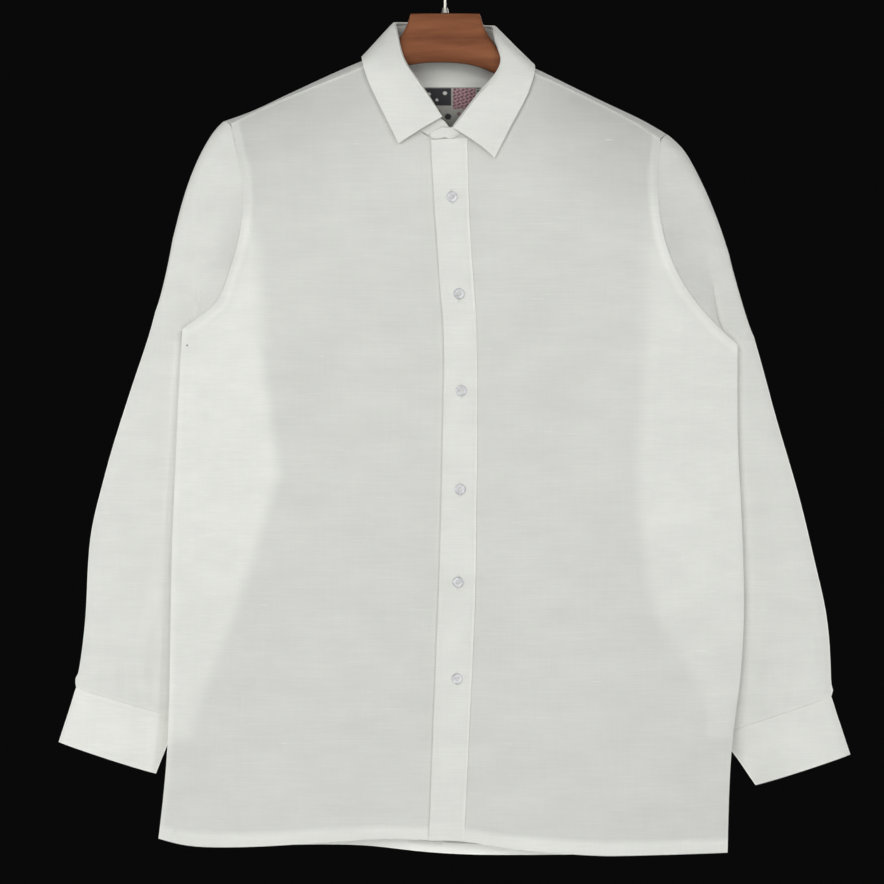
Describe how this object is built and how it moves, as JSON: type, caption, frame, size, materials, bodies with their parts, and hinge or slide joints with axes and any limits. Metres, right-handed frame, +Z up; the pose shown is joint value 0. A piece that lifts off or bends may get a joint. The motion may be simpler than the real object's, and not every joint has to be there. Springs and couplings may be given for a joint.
{
  "type": "linen shirt on a clothes hanger",
  "caption": "White linen shirt with long sleeves and a button front, hung on a brown wooden hanger with a thin wire hook.",
  "frame": {"origin": "the hold point: the inside of the top of the hanger's hook", "axes": "+Z up, -Y out of the shirt's front, +X to the wearer's left"},
  "size_m": [0.7942, 0.0693, 0.9255],
  "materials": {
    "linen": "matte off-white linen",
    "label": "woven, matte",
    "shell": "pearly, semi-gloss",
    "wood": "stained and varnished",
    "steel": "bright wire"
  },
  "bodies": {
    "root": {"front_right": "linen", "front_left": "linen", "front_placket": "linen", "back": "linen", "yoke": "linen", "sleeve_right": "linen", "sleeve_left": "linen", "sleeve_placket_right": "linen", "sleeve_placket_left": "linen", "cuff_right": "linen", "cuff_left": "linen", "collar_stand": "linen", "collar_leaf": "linen", "neck_label": "label", "button_front_1": "shell", "button_front_2": "shell", "button_front_3": "shell", "button_front_4": "shell", "button_front_5": "shell", "button_front_6": "shell", "button_cuff_right": "shell", "button_cuff_left": "shell", "hanger_wood": "wood", "hanger_hook": "steel", "hanger_ferrule": "steel"}
  },
  "joints": []
}
